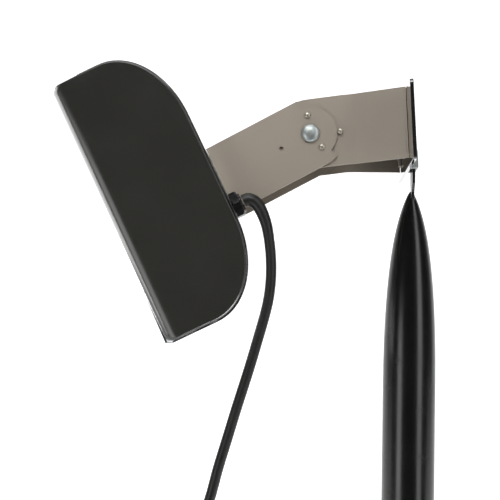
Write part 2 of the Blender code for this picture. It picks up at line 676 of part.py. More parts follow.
def make_gland(plastic, rubber, head_frame, back):
    """The hexagonal cable gland through the housing, its locknut, and the bent strain relief."""
    place = (CORD_Y, GLAND_HEIGHT)
    corner = GLAND_FLATS / math.sqrt(3)
    hexagon = [(place[0] + corner * math.sin(a), place[1] + corner * math.cos(a))
               for a in (math.radians(60 * i) for i in range(6))]
    start = back + GAP
    gland = add_object("gland_body", outline_mesh("gland_body", hexagon, start, start + GLAND_LENGTH, "YZ"),
                       plastic, head_frame)
    bevel(gland, 0.0005, 2)
    collar = rod_mesh("collar", (start + 0.002, *place), (start + GLAND_LENGTH + 0.0015, *place), 0.0070, 24)
    combine(gland, collar, "UNION")
    thread = rod_mesh("thread", (back - 0.0100, *place), (start + 0.002, *place), 0.0055, 20)
    combine(gland, thread, "UNION")
    inside = back - HOUSING_WALL - GAP
    nut_rim = [(place[0] + 0.0095 * math.cos(a), place[1] + 0.0095 * math.sin(a))
               for a in (math.radians(60 * i) for i in range(6))]
    nut_rim = [(max(y, -HEAD_HALF_WIDTH + COVER_DEPTH + GAP), z) for y, z in nut_rim]
    nut = outline_mesh("gland_locknut", nut_rim, inside - 0.0040, inside, "YZ", [circle(place, 0.0058, 20)])
    add_object("gland_locknut", nut, plastic, head_frame)
    route = smooth_route([Vector((x, CORD_Y, z)) for x, z in SLEEVE_ROUTE], 0.003)
    taper = [1.0 - 0.22 * i / (len(route) - 1) for i in range(len(route))]
    tube("strain_relief", route, 0.0053, rubber, None, 3, taper)


# Glass door


def door_block(name, low, high, half_width, top, bottom):
    """A box across the door between two depths, in the door's own frame."""
    return box_mesh(name, (low, -half_width, bottom), (high, half_width, top))


def make_door(dark, glass, rubber, silicone, zinc, door_frame):
    """The glazed frame, hung on two pins. In its own frame x runs back and z hangs down from the top."""
    front, wide, top, bottom = -DOOR_DEPTH, DOOR_HALF_WIDTH, DOOR_TOP, DOOR_TOP - 2 * DOOR_HALF_HEIGHT

    def block(name, low, high, inset):
        return door_block(name, low, high, wide - inset, top - inset, bottom + inset)

    frame = add_object("door_frame", block("door_frame", front, front + DOOR_PLATE, 0.0), dark, door_frame)
    combine(frame, block("walls", front + 0.0002, 0.0, DOOR_STEP), "UNION")
    combine(frame, block("well", front + DOOR_PLATE, 0.01, DOOR_STEP + DOOR_WALL), "DIFFERENCE")
    combine(frame, block("window", front - 0.01, 0.01, DOOR_LIP), "DIFFERENCE")
    axle = rod_mesh("axle_hole", (PIN_X, -0.06, PIN_Z), (PIN_X, 0.06, PIN_Z), HINGE_PIN_RADIUS + GAP, 12)
    combine(frame, axle, "DIFFERENCE")
    seat = front + DOOR_PLATE + GAP
    ring = block("door_gasket", seat, seat + GASKET_DEPTH, GAP)
    gasket = add_object("door_gasket", ring, silicone, door_frame)
    combine(gasket, block("inside", seat - 0.01, seat + 0.01, DOOR_STEP - GAP), "DIFFERENCE")
    inset = DOOR_STEP + DOOR_WALL + GAP
    ring = block("glass_seal", seat, seat + SEAL_THICKNESS, inset)
    seal = add_object("glass_seal", ring, rubber, door_frame)
    combine(seal, block("seal_window", seat - 0.01, seat + 0.01, DOOR_LIP), "DIFFERENCE")
    pane = seat + SEAL_THICKNESS + GAP
    sheet = block("front_glass", pane, pane + PANE_THICKNESS, inset)
    bevel(add_object("front_glass", sheet, glass, door_frame), 0.0004, 1)
    for side, name in ((-1, "near_hinge_pin"), (1, "far_hinge_pin")):
        start = wide - DOOR_STEP - DOOR_WALL - 0.0006
        ends = sorted((side * start, side * (HEAD_HALF_WIDTH - COVER_WALL - GAP)))
        pin = rod_mesh(name, (PIN_X, ends[0], PIN_Z), (PIN_X, ends[1], PIN_Z), HINGE_PIN_RADIUS, 12)
        add_object(name, pin, zinc, door_frame)
    screw = rod_mesh("door_screw", (front - 0.0016, 0.0, bottom + 0.003), (front - GAP, 0.0, bottom + 0.003),
                     0.0024, 16)
    add_object("door_screw", screw, zinc, door_frame)


# Cord, coil and plug


def make_cord(rubber, plastic, steel, strap):
    route = smooth_route([Vector((x, CORD_Y, z)) for x, z in CORD_ROUTE], 0.009)
    tube("mains_cord", route, CORD_RADIUS, rubber)
    flat, soft = COIL_HALF_WIDTH, 0.0030
    profile = []
    for radius, height, start in ((COIL_OUTER, flat, 0), (COIL_OUTER, -flat, -90),
                                  (COIL_INNER, -flat, -180), (COIL_INNER, flat, -270)):
        centre = (radius - math.copysign(soft, radius - 0.04), height - math.copysign(soft, height))
        corner = arc(centre, (soft, soft), start + 90, start, 2)
        profile += corner
    coil = turned("cord_coil", profile, rubber, None, 40)
    coil.location = COIL_CENTRE
    coil.rotation_euler = (math.radians(90), 0.0, 0.0)
    for name, angle in (("upper_coil_tie", 50), ("lower_coil_tie", 250)):
        make_tie(name, math.radians(angle), strap)
    axis = (COIL_CENTRE.x - TURN_RADIUS, CORD_Y - TURN_PITCH)
    top = COIL_CENTRE.z - PLUG_TOP
    tail = [Vector((*axis, COIL_CENTRE.z - z)) for z in (0.0300, 0.0365, 0.0430, PLUG_TOP - GAP)]
    tube("cord_tail", tail, CORD_RADIUS, rubber)
    body = [(0.0, top), (0.0055, top), (0.0065, top - 0.010), (0.0110, top - 0.013),
            (0.0140, top - 0.020), (0.0178, top - 0.024), (0.0182, top - 0.038), (0.0176, top - 0.040),
            (0.0, top - 0.040)]
    plug = turned("plug_body", body, plastic, None, 28)
    plug.location = (*axis, 0.0)
    for side, name in ((-1, "left_plug_pin"), (1, "right_plug_pin")):
        x, base = axis[0] + side * 0.0095, top - 0.040 - GAP
        pin = rod_mesh(name, (x, axis[1], base), (x, axis[1], base - 0.019), 0.0024, 14)
        bevel(add_object(name, pin, steel), 0.0006, 1)


def make_tie(name, angle, strap):
    """A flat strap round the coil's bundle, at an angle about the coil's centre."""
    slack, thick, width = 0.0007, 0.0012, 0.0050
    inner = (COIL_INNER - slack, COIL_OUTER + slack, COIL_HALF_WIDTH + slack)
    frame = frame_empty(f"{name}_frame", COIL_CENTRE, angle)
    outer = box_mesh(name, (inner[0] - thick, -inner[2] - thick, -width),
                     (inner[1] + thick, inner[2] + thick, width))
    tie = bevel(add_object(name, outer, strap, frame), 0.0008, 2)
    bundle = box_mesh("bundle", (inner[0], -inner[2], -0.02), (inner[1], inner[2], 0.02))
    combine(tie, bundle, "DIFFERENCE")


def build():
    black = material("satin_black_paint", (0.022, 0.022, 0.022), 0.35)
    cover = material("black_cover", (0.028, 0.028, 0.026), 0.28)
    taupe = material("satin_metal", (0.30, 0.27, 0.23), 0.38, 0.85)
    zinc = material("zinc_plate", (0.62, 0.65, 0.66), 0.25, 1.0)
    steel = material("steel", (0.45, 0.45, 0.44), 0.40, 1.0)
    bright = material("bright_aluminium", (0.85, 0.85, 0.86), 0.15, 1.0)
    dark = material("dark_frame", (0.045, 0.042, 0.045), 0.40)
    glass = material("clear_glass", (0.90, 0.95, 0.95), 0.05)
    rubber = material("black_rubber", (0.020, 0.020, 0.021), 0.55)
    silicone = material("white_silicone", (0.86, 0.86, 0.88), 0.45)
    plastic = material("black_plastic", (0.018, 0.018, 0.019), 0.45)
    ceramic = material("white_ceramic", (0.85, 0.83, 0.78), 0.50)
    strap = material("strap", (0.03, 0.03, 0.032), 0.85)

    pivot_frame = frame_empty("elbow_pivot", PIVOT)
    front_frame = frame_empty("front_arm_frame", (0, 0, 0), FRONT_ARM_ANGLE, pivot_frame)
    rear_frame = frame_empty("rear_arm_frame", PIVOT, REAR_ARM_ANGLE)
    flange_frame = frame_empty("flange_frame", FLANGE_BASE, FLANGE_LEAN)
    head_frame = frame_empty("head_frame", HEAD_ORIGIN - PIVOT, HEAD_TILT, pivot_frame)
    hinge = Vector((DOOR_INSET + DOOR_DEPTH, 0.0, DOOR_HALF_HEIGHT - DOOR_TOP))
    door_frame = frame_empty("door_hinge_frame", hinge, -DOOR_AJAR, head_frame)

    make_post(black)
    make_flange(black, zinc, flange_frame)
    make_rear_arm(taupe, rear_frame, flange_frame)
    make_front_arm(taupe, front_frame, head_frame)
    make_pivot(zinc, steel, pivot_frame)
    make_cover("near_side_cover", -1, NEAR_RIM, cover, head_frame)
    make_cover("far_side_cover", 1, FAR_RIM, cover, head_frame)
    back = make_housing(bright, head_frame)
    make_backing(steel, zinc, head_frame, back)
    make_lamp(bright, ceramic, glass, steel, head_frame)
    make_terminal(ceramic, zinc, head_frame)
    make_gland(plastic, rubber, head_frame, back)
    make_door(dark, glass, rubber, silicone, zinc, door_frame)
    make_cord(rubber, plastic, steel, strap)
    bpy.context.view_layer.update()


empty_scene()
PARTS = make_collection(OBJECT_NAME)
TOOLS = make_collection("cutters")
build()
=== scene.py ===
"""How the exhibition picture light looks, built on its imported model.

Metres, +Z up. The camera looks along +Y at the side of the head that the cord leaves.
"""

import json
import math

import bmesh
import bpy
from mathutils import Matrix, Vector


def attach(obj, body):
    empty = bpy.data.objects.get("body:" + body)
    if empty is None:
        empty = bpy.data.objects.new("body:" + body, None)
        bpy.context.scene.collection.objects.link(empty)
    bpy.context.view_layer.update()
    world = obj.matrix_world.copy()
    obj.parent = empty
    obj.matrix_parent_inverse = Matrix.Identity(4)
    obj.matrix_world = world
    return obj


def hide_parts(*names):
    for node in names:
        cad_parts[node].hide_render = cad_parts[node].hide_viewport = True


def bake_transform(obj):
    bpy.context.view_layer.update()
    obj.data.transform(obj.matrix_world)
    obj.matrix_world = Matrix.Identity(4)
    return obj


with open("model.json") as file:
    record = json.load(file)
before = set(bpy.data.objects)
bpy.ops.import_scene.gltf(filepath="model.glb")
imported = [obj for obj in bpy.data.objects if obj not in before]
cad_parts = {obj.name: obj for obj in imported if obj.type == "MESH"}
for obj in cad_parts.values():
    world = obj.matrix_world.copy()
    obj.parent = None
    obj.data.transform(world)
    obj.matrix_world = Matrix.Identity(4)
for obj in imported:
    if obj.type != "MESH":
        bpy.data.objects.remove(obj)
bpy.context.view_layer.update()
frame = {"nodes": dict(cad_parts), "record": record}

STAND, HEAD, DOOR = "post_and_rear_arm", "lamp_head", "glass_door"
SCENE = bpy.context.scene
NODES = frame["nodes"]

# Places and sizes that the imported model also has
HEAD_TILT = math.radians(26.6)
HEAD_ORIGIN = Vector((-0.2141, 0.0, 0.2272))
HEAD_FRAME = Matrix.Translation(HEAD_ORIGIN) @ Matrix.Rotation(-HEAD_TILT, 4, "Y")
FACE_DEPTH, FACE_HALF_HEIGHT = 0.0774, 0.0975
CORNER_DEPTH, CORNER_HEIGHT, FRONT_CORNER = 0.040, 0.057, 0.0060
HEAD_HALF_WIDTH, COVER_DEPTH, COVER_WALL = 0.0420, 0.0040, 0.0018
NEAR_RIM, HOUSING_RIM = 0.0020, 0.0032
HOUSING_FRONT, HOUSING_LOWER_FRONT, HOUSING_WALL, GAP = 0.0208, 0.0030, 0.0012, 0.0003
POST_RADIUS, TIP_TOP, TIP_TAPER, POST_FOOT = 0.0187, 0.2520, 0.1335, 0.0033
PIVOT, ARM_FACE = Vector((-0.0740, 0.0, 0.2896)), -0.0218
FRONT_ARM_ANGLE, REAR_ARM_ANGLE = 28.85, 5.5
LAMP_X = 0.0400
CORD_Y, CORD_RADIUS = -0.0309, 0.0037
GLAND_HEIGHT, GLAND_FLATS, GLAND_LENGTH = -0.0318, 0.0175, 0.0060
COIL_CENTRE = Vector((-0.1360, CORD_Y, -0.0380))
TURN_OUTER, TURN_INNER, TURN_PITCH = 0.0447, 0.0372, 0.0075
PLUG_TOP = COIL_CENTRE.z - 0.0500

# Sizes that only the shown model has
FAR_RIM, FRONT_ROLL_REACH = 0.0030, 0.0340
VENT_ROWS, VENTS_IN_ROW, VENT_RADIUS = 3, 9, 0.0015
VENT_FIRST_Y, VENT_FIRST_Z, VENT_STEP_Y, VENT_STEP_Z = -0.028, 0.026, 0.007, 0.0065
SLOT_SIZE, SLOT_CENTRE = (0.0026, 0.0076, 0.050), (0.001, 0.0, 0.2397)
SLEEVE_ROUTE = (
    (-0.1202, 0.2387), (-0.1172, 0.2402), (-0.1134, 0.2393), (-0.1094, 0.2354),
    (-0.1060, 0.2290), (-0.1034, 0.2215), (-0.1018, 0.2138),
)
CORD_ROUTE = (
    (-0.1022, 0.2158), (-0.1017, 0.2134), (-0.1003, 0.2040), (-0.0996, 0.1920), (-0.1000, 0.1780),
    (-0.1022, 0.1640), (-0.1068, 0.1467), (-0.1134, 0.1223), (-0.1211, 0.0965), (-0.1289, 0.0690),
    (-0.1343, 0.0502), (-0.1382, 0.0330), (-0.1425, 0.0210), (-0.1478, 0.0140),
)


# Camera


def make_camera():
    data = bpy.data.cameras.new("camera")
    data.sensor_width = 36.0
    data.lens = 79.25
    data.clip_start = 0.01
    data.dof.use_dof = False
    camera = bpy.data.objects.new("camera", data)
    SCENE.collection.objects.link(camera)
    ahead = Vector((-0.05156, 1.0, 0.07617)).normalized()
    level = ahead.cross(Vector((0.0, 0.0, 1.0))).normalized()
    above = level.cross(ahead)
    roll = math.radians(1.3)
    right = level * math.cos(roll) + above * math.sin(roll)
    up = above * math.cos(roll) - level * math.sin(roll)
    turn = Matrix((right, up, -ahead)).transposed().to_4x4()
    camera.matrix_world = Matrix.Translation((-0.0752, -0.800, 0.146)) @ turn
    SCENE.camera = camera


# Materials


def new_material(name, metallic, **constants):
    made = bpy.data.materials.new(name)
    made.use_nodes = True
    shader = made.node_tree.nodes["Principled BSDF"]
    shader.inputs["Metallic"].default_value = metallic
    for socket, value in constants.items():
        shader.inputs[socket.replace("_", " ")].default_value = value
    return made, made.node_tree, shader


def coordinates(tree, stretch):
    place = tree.nodes.new("ShaderNodeTexCoord")
    mapping = tree.nodes.new("ShaderNodeMapping")
    mapping.inputs["Scale"].default_value = stretch
    tree.links.new(place.outputs["Object"], mapping.inputs["Vector"])
    return mapping.outputs["Vector"]


def noise(tree, vector, scale, detail=3.0):
    made = tree.nodes.new("ShaderNodeTexNoise")
    made.inputs["Scale"].default_value = scale
    made.inputs["Detail"].default_value = detail
    tree.links.new(vector, made.inputs["Vector"])
    return made.outputs["Fac"]


def spread(tree, value, low, high):
    """Maps a noise's middle part to run from low to high."""
    made = tree.nodes.new("ShaderNodeMapRange")
    made.inputs["From Min"].default_value = 0.32
    made.inputs["From Max"].default_value = 0.68
    made.inputs["To Min"].default_value = low
    made.inputs["To Max"].default_value = high
    tree.links.new(value, made.inputs["Value"])
    return made.outputs["Result"]


def two_tones(tree, value, dark, light):
    ramp = tree.nodes.new("ShaderNodeValToRGB")
    ramp.color_ramp.elements[0].position = 0.34
    ramp.color_ramp.elements[0].color = (*dark, 1.0)
    ramp.color_ramp.elements[1].position = 0.66
    ramp.color_ramp.elements[1].color = (*light, 1.0)
    tree.links.new(value, ramp.inputs["Fac"])
    return ramp.outputs["Color"]


def relief(tree, shader, height, depth):
    bump = tree.nodes.new("ShaderNodeBump")
    bump.inputs["Distance"].default_value = depth
    tree.links.new(height, bump.inputs["Height"])
    tree.links.new(bump.outputs["Normal"], shader.inputs["Normal"])


def finish(name, base, roughness, metallic=0.0, tone=0.10, tone_scale=16.0, grain_scale=1100.0,
           grain_depth=0.00001, rough_spread=0.05, stretch=(1.0, 1.0, 1.0), **constants):
    """A surface with slow changes of tone, patchy gloss and a fine grain."""
    made, tree, shader = new_material(name, metallic, **constants)
    still = coordinates(tree, (1.0, 1.0, 1.0))
    dark = [c * (1 - tone) for c in base]
    light = [min(1.0, c * (1 + tone)) for c in base]
    tree.links.new(two_tones(tree, noise(tree, still, tone_scale), dark, light), shader.inputs["Base Color"])
    patches = noise(tree, still, tone_scale * 3.3, 6.0)
    rough = spread(tree, patches, roughness - rough_spread, roughness + rough_spread)
    tree.links.new(rough, shader.inputs["Roughness"])
    grain = noise(tree, coordinates(tree, stretch), grain_scale, 2.0)
    relief(tree, shader, grain, grain_depth)
    return made


def hammered(name, base, roughness):
    """Bright sheet pressed all over with small round dimples."""
    made = finish(name, base, roughness, 1.0, tone=0.04)
    tree = made.node_tree
    cells = tree.nodes.new("ShaderNodeTexVoronoi")
    cells.feature = "SMOOTH_F1"
    cells.inputs["Scale"].default_value = 300.0
    tree.links.new(coordinates(tree, (1.0, 1.0, 1.0)), cells.inputs["Vector"])
    relief(tree, tree.nodes["Principled BSDF"], cells.outputs["Distance"], 0.0006)
    return made


def woven(name, base):
    """Nylon webbing: threads that cross, with a soft sheen."""
    made, tree, shader = new_material(name, 0.0, Roughness=0.85, Sheen_Weight=0.3)
    vector = coordinates(tree, (1.0, 1.0, 1.0))
    threads = []
    for direction in ("X", "Z"):
        wave = tree.nodes.new("ShaderNodeTexWave")
        wave.bands_direction = direction
        wave.inputs["Scale"].default_value = 420.0
        tree.links.new(vector, wave.inputs["Vector"])
        threads.append(wave.outputs["Fac"])
    cross = tree.nodes.new("ShaderNodeMath")
    cross.operation = "MAXIMUM"
    tree.links.new(threads[0], cross.inputs[0])
    tree.links.new(threads[1], cross.inputs[1])
    colour = two_tones(tree, cross.outputs["Value"], [c * 0.6 for c in base], [c * 1.4 for c in base])
    tree.links.new(colour, shader.inputs["Base Color"])
    relief(tree, shader, cross.outputs["Value"], 0.0002)
    return made


def clear_glass():
    """Clear glass, with the faint smears that a pane has."""
    made, tree, shader = new_material("clear_glass", 0.0, Transmission_Weight=1.0, IOR=1.48)
    vector = coordinates(tree, (1.0, 1.0, 1.0))
    smears = noise(tree, vector, 22.0, 5.0)
    tint = two_tones(tree, smears, (0.90, 0.95, 0.94), (0.96, 0.99, 0.98))
    tree.links.new(tint, shader.inputs["Base Color"])
    tree.links.new(spread(tree, smears, 0.02, 0.07), shader.inputs["Roughness"])
    return made


FINISHES = {
    "satin_metal": finish("satin_metal", (0.272, 0.238, 0.196), 0.46, 0.25, tone=0.05, tone_scale=9.0,
                          grain_scale=1500.0, grain_depth=0.000012),
    "black_paint": finish("black_paint", (0.0055, 0.0060, 0.0055), 0.24, tone=0.15, grain_scale=900.0,
                          grain_depth=0.000015, rough_spread=0.04),
    "black_gloss": finish("black_gloss", (0.0060, 0.0060, 0.0060), 0.14, tone=0.15, grain_scale=900.0,
                          grain_depth=0.000004, rough_spread=0.03, Coat_Weight=1.0, Coat_Roughness=0.04),
    "black_cover": finish("black_cover", (0.0082, 0.0081, 0.0071), 0.20, tone=0.08, tone_scale=11.0,
                          grain_scale=1600.0, grain_depth=0.000004, rough_spread=0.03),
    "bright_sheet": finish("bright_sheet", (0.86, 0.86, 0.87), 0.24, 1.0, tone=0.04, grain_scale=420.0,
                           stretch=(1.0, 0.05, 1.0), grain_depth=0.00001),
    "dark_frame": finish("dark_frame", (0.022, 0.020, 0.022), 0.36, tone=0.12, grain_depth=0.00001),
    "glass": clear_glass(),
    "zinc": finish("zinc", (0.34, 0.37, 0.365), 0.40, 0.80, tone=0.08, tone_scale=120.0, rough_spread=0.06),
    "steel": finish("steel", (0.46, 0.46, 0.45), 0.36, 1.0, tone=0.08, grain_scale=500.0,
                    stretch=(1.0, 1.0, 0.06), grain_depth=0.00001),
    "brass": finish("brass", (0.78, 0.71, 0.58), 0.20, 1.0, tone=0.05, tone_scale=60.0),
    "rubber": finish("rubber", (0.007, 0.007, 0.0065), 0.40, tone=0.16, tone_scale=40.0, grain_scale=1400.0,
                     grain_depth=0.00002, rough_spread=0.07, Specular_IOR_Level=0.35),
    "black_plastic": finish("black_plastic", (0.004, 0.004, 0.004), 0.22, tone=0.10, tone_scale=60.0,
                            grain_scale=1500.0, grain_depth=0.000008, Specular_IOR_Level=0.25),
    "strap": woven("strap", (0.030, 0.030, 0.033)),
    "ceramic": finish("ceramic", (0.84, 0.82, 0.76), 0.50, tone=0.03, tone_scale=70.0, grain_depth=0.00002),
    "silicone": finish("silicone", (0.88, 0.88, 0.90), 0.45, tone=0.02, tone_scale=70.0, grain_depth=0.00001,
                       Subsurface_Weight=0.2),
}
STUD = finish("stud", (0.36, 0.33, 0.28), 0.30, 0.7, tone=0.06, tone_scale=90.0)


# Mesh helpers


def add_piece(name, mesh, body, slot, replaced=(), smooth_angle=35, material=None):
    mesh.materials.clear()
    mesh.materials.append(material or FINISHES[slot])
    mesh.shade_smooth()
    mesh.set_sharp_from_angle(angle=math.radians(smooth_angle))
    made = bpy.data.objects.new(name, mesh)
    SCENE.collection.objects.link(made)
    if body:
        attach(made, body)
    if replaced:
        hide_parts(*replaced)
    return made


def loft(name, rings, caps=(True, True), matrix=None):
    """Joins rings of points, all the same length, with faces between them and over the ends."""
    bm = bmesh.new()
    rows = [[bm.verts.new(place) for place in ring] for ring in rings]
    for low, high in zip(rows, rows[1:]):
        for i in range(len(low)):
            j = (i + 1) % len(low)
            bm.faces.new((low[i], low[j], high[j], high[i]))
    for wanted, row in zip(caps, (rows[0], rows[-1])):
        if wanted:
            bm.faces.new(row)
    bmesh.ops.recalc_face_normals(bm, faces=bm.faces)
    if matrix:
        bmesh.ops.transform(bm, matrix=matrix, verts=bm.verts)
    mesh = bpy.data.meshes.new(name)
    bm.to_mesh(mesh)
    bm.free()
    return mesh


def lathe(name, profile, steps, matrix=None):
    """A profile of (radius, height) turned about z."""
    turns = [math.tau * i / steps for i in range(steps)]
    rings = [[(r * math.cos(a), r * math.sin(a), h) for a in turns] for r, h in profile]
    return loft(name, rings, matrix=matrix)


def hexagon_rings(flats, stations):
    """Hexagonal sections at (height, largest radius), rounded off where the radius is small."""
    sides = 60
    rings = []
    for height, largest in stations:
        ring = []
        for i in range(sides):
            a = math.tau * i / sides
            face = (a + math.pi / 6) % (math.pi / 3) - math.pi / 6
            radius = min(flats / 2 / math.cos(face), largest)
            ring.append((radius * math.cos(a), radius * math.sin(a), height))
        rings.append(ring)
    return rings


def sweep(name, path, radii, sides):
    """A round tube whose ring centres are the path's points."""
    rings = []
    side = Vector((0.0, 1.0, 0.0))
    for i, place in enumerate(path):
        ahead = (path[min(i + 1, len(path) - 1)] - path[max(i - 1, 0)]).normalized()
        side = (side - ahead * side.dot(ahead)).normalized()
        other = ahead.cross(side)
        turns = [math.tau * k / sides for k in range(sides)]
        rings.append([place + (side * math.cos(a) + other * math.sin(a)) * radii[i] for a in turns])
    return loft(name, rings)


def carve(target, tool_mesh):
    """Cuts a mesh out of a piece, for good."""
    tool = bpy.data.objects.new("tool", tool_mesh)
    SCENE.collection.objects.link(tool)
    cut = target.modifiers.new("cut", "BOOLEAN")
    cut.operation = "DIFFERENCE"
    cut.solver = "EXACT"
    cut.object = tool
    shown = target.evaluated_get(bpy.context.evaluated_depsgraph_get())
    result = bpy.data.meshes.new_from_object(shown)
    target.modifiers.clear()
    target.data = result
    bpy.data.objects.remove(tool)


def smooth_route(points, spacing):
    """Points along a Catmull-Rom curve through the route's own points, about spacing apart."""
    ends = [points[0] * 2 - points[1], *points, points[-1] * 2 - points[-2]]
    fine = []
    for a, b, c, d in zip(ends, ends[1:], ends[2:], ends[3:]):
        for step in range(16):
            t = step / 16
            fine.append(
                0.5 * (2 * b + (c - a) * t + (2 * a - 5 * b + 4 * c - d) * t * t
                       + (3 * b - a - 3 * c + d) * t * t * t)
            )
    fine.append(points[-1])
    length = sum((q - p).length for p, q in zip(fine, fine[1:]))
    count = max(2, round(length / spacing))
    places, walked, target = [fine[0]], 0.0, 1
    for p, q in zip(fine, fine[1:]):
        step = (q - p).length
        while target < count and walked + step >= target * length / count:
            places.append(p.lerp(q, (target * length / count - walked) / step))
            target += 1
        walked += step
    places.append(fine[-1])
    return places


def smooth_step(t):
    t = min(1.0, max(0.0, t))
    return t * t * (3 - 2 * t)


# Cord, its coil and its plug


def coil_path():
    """Five turns and a bit that wind in, across and out again, each a cord's width from the last."""
    slots = ((TURN_OUTER, 0.0), (TURN_OUTER, TURN_PITCH), (TURN_INNER, TURN_PITCH), (TURN_INNER, 0.0),
             (TURN_INNER, -TURN_PITCH), (TURN_OUTER, -TURN_PITCH))
    start, final, change, between_moves, steps = 135.0, 1980.0, 30.0, 335.0, 123
    moves = [start + 360.0 + between_moves * i for i in range(5)]
    points = []
    for i in range(steps + 1):
        angle = start + (final - start) * i / steps
        radius, offset = slots[0]
        for move, (next_radius, next_offset) in zip(moves, slots[1:]):
            share = smooth_step((angle - move + change) / change)
            radius += (next_radius - radius) * share
            offset += (next_offset - offset) * share
        a = math.radians(angle)
        points.append(COIL_CENTRE + Vector((radius * math.cos(a), offset, radius * math.sin(a))))
    return points


def make_cord():
    """The hanging cord, its coil and its tail down to the plug, as one tube."""
    ring_spacing, plug_gap = 0.006, 0.0003
    route = smooth_route([Vector((x, CORD_Y, z)) for x, z in CORD_ROUTE], ring_spacing)
    turns = coil_path()
    lead = [route[-1].lerp(turns[0], share) for share in (0.2, 0.4, 0.6, 0.8)]
    last = turns[-1]
    tail_length = PLUG_TOP + plug_gap - last.z
    tail = [Vector((last.x, last.y, last.z + tail_length * i / 8)) for i in range(1, 9)]
    path = [*route, *lead, *turns, *tail]
    for _ in range(2):
        inner = [(a + 2 * b + c) / 4 for a, b, c in zip(path, path[1:], path[2:])]
        path = [path[0], *inner, path[-1]]
    mesh = sweep("cord", path, [CORD_RADIUS] * len(path), 16)
    cord = add_piece("cord", mesh, None, "rubber", ("mains_cord", "cord_coil", "cord_tail"), 60)
    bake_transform(cord)


def make_plug():
    """A round plug: a stepped sleeve, a bell and a wide body with two ribbed grips."""
    x, y = COIL_CENTRE.x - TURN_OUTER, CORD_Y - TURN_PITCH
    profile = [(0.0046, 0.0000), (0.0054, -0.0004), (0.0056, -0.0018), (0.0052, -0.0024), (0.0052, -0.0032),
               (0.0059, -0.0038), (0.0060, -0.0052), (0.0056, -0.0058), (0.0056, -0.0066), (0.0063, -0.0072),
               (0.0064, -0.0092), (0.0078, -0.0112), (0.0104, -0.0130), (0.0122, -0.0150), (0.0132, -0.0178),
               (0.0142, -0.0204), (0.0160, -0.0222), (0.0174, -0.0236), (0.0180, -0.0252), (0.0182, -0.0280),
               (0.0182, -0.0368), (0.0180, -0.0388), (0.0170, -0.0398), (0.0150, -0.0400), (0.0148, -0.0394),
               (0.0040, -0.0394)]
    sides = 72
    rib_height, ribs_top, ribs_bottom, ribs_fade = 0.00035, -0.0250, -0.0380, 0.002
    rings = []
    for radius, height in profile:
        ring = []
        for i in range(sides):
            a = math.tau * i / sides
            grip = smooth_step((ribs_top - height) / ribs_fade)
            grip *= smooth_step((height - ribs_bottom) / ribs_fade)
            rib = rib_height * grip * (1 if i % 4 < 2 else -1) * (1 if abs(math.sin(a)) > 0.5 else 0)
            ring.append(((radius + rib) * math.cos(a), (radius + rib) * math.sin(a), height))
        rings.append(ring)
    mesh = loft("plug", rings, matrix=Matrix.Translation((x, y, PLUG_TOP)))
    return add_piece("plug", mesh, STAND, "black_plastic", ("plug_body",), 50)


def make_coil_tie(name, node, angle):
    """A flat strap wrapped closely round the bundle."""
    inner, outer, side, corner, thick = 0.0326, 0.0493, 0.0120, 0.0042, 0.0011
    middle, half = (inner + outer) / 2, (outer - inner) / 2
    loop = []
    for cx, cy, start in ((1, 1, 0), (-1, 1, 90), (-1, -1, 180), (1, -1, 270)):
        for i in range(7):
            a = math.radians(start + 15 * i)
            loop.append((middle + cx * (half - corner), cy * (side - corner), math.cos(a), math.sin(a)))
    rings = []
    for grow, width in ((0, -0.0050), (thick, -0.0050), (thick, -0.0046), (thick * 1.1, 0.0),
                        (thick, 0.0046), (thick, 0.0050), (0, 0.0050)):
        rings.append([(x + (corner + grow) * c, y + (corner + grow) * s, width) for x, y, c, s in loop])
    place = Matrix.Translation(COIL_CENTRE) @ Matrix.Rotation(-angle, 4, "Y")
    mesh = loft(name, [*rings, rings[0]], (False, False), place)
    made = add_piece(name, mesh, STAND, "strap", (node,), 50)
    weld = made.modifiers.new("weld", "WELD")
    weld.merge_threshold = 0.00001
    return made


def make_sleeve():
    """The moulded rubber sleeve that bends the cord down as it leaves the gland."""
    route = smooth_route([Vector((x, CORD_Y, z)) for x, z in SLEEVE_ROUTE], 0.0016)
    count = len(route) - 1
    radii = [0.0048 - 0.0010 * smooth_step(i / count) for i in range(count + 1)]
    mesh = sweep("cord_sleeve", route, radii, 24)
    return add_piece("cord_sleeve", mesh, HEAD, "rubber", ("strain_relief",), 60)


# Head


def head_outline(rim):
    """The head's D outline as (x, z) points."""
    back, top = FACE_DEPTH + rim, FACE_HALF_HEIGHT + rim
    wide, tall = CORNER_DEPTH + rim, CORNER_HEIGHT + rim
    front = -rim * 0.5
    steps, front_steps = 30, 24
    points = []

    def add_arc(cx, cz, rx, rz, start, end, count):
        for i in range(count + 1):
            a = math.radians(start + (end - start) * i / count)
            points.append((cx + rx * math.cos(a), cz + rz * math.sin(a)))

    r = FRONT_CORNER
    add_arc(back - wide, tall - top, wide, tall, -90, 0, steps)
    for i in range(1, 6):
        points.append((back, (tall - top) + (top - tall) * 2 * i / 6))
    add_arc(back - wide, top - tall, wide, tall, 0, 90, steps)
    for i in range(1, 6):
        points.append((back - wide + (front + r - back + wide) * i / 6, top))
    add_arc(front + r, top - r, r, r, 90, 180, 8)
    for i in range(1, front_steps):
        points.append((front, (top - r) - 2 * (top - r) * i / front_steps))
    add_arc(front + r, r - top, r, r, 180, 270, 8)
    for i in range(1, 6):
        points.append((front + r + (back - wide - front - r) * i / 6, -top))
    return points


def edge_normals(points):
    """Each point's outward direction."""
    normals = []
    for i, (x, z) in enumerate(points):
        before, after = points[i - 1], points[(i + 1) % len(points)]
        along = Vector((after[0] - before[0], after[1] - before[1])).normalized()
        normals.append((along.y, -along.x))
    return normals


